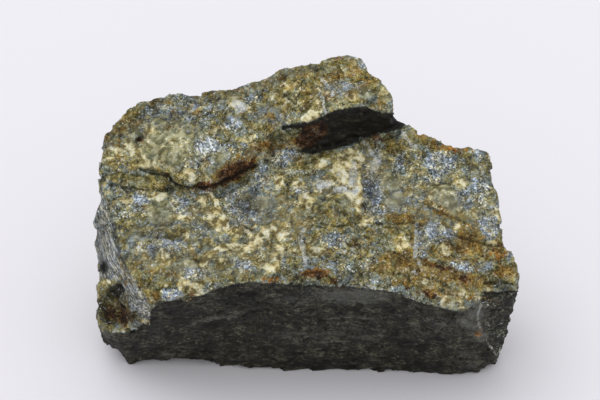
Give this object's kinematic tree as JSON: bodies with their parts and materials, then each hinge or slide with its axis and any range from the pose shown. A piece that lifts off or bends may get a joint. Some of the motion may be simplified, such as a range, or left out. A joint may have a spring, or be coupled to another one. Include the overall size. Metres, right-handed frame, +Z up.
{
  "type": "stibnite ore specimen",
  "caption": "Hand-sized broken lump of massive grey stibnite ore with ochre and rust stains, a stepped upper lobe and a dark slaty front; rests on its flattest face.",
  "frame": {"origin": "centre of the lump's box, at the level of the surface that it rests on", "axes": "+Z up as it rests, -Y towards the dark slaty front, +X along its length towards the end with the pale ledge"},
  "size_m": [0.0928, 0.05, 0.0592],
  "materials": {
    "stibnite_ore_lump": "rough broken ore: granular grey metallic sulphide with cream ochre, quartz and rust, and dark slate on the front"
  },
  "bodies": {
    "root": {"stibnite_ore_lump": "stibnite_ore_lump"}
  },
  "joints": []
}
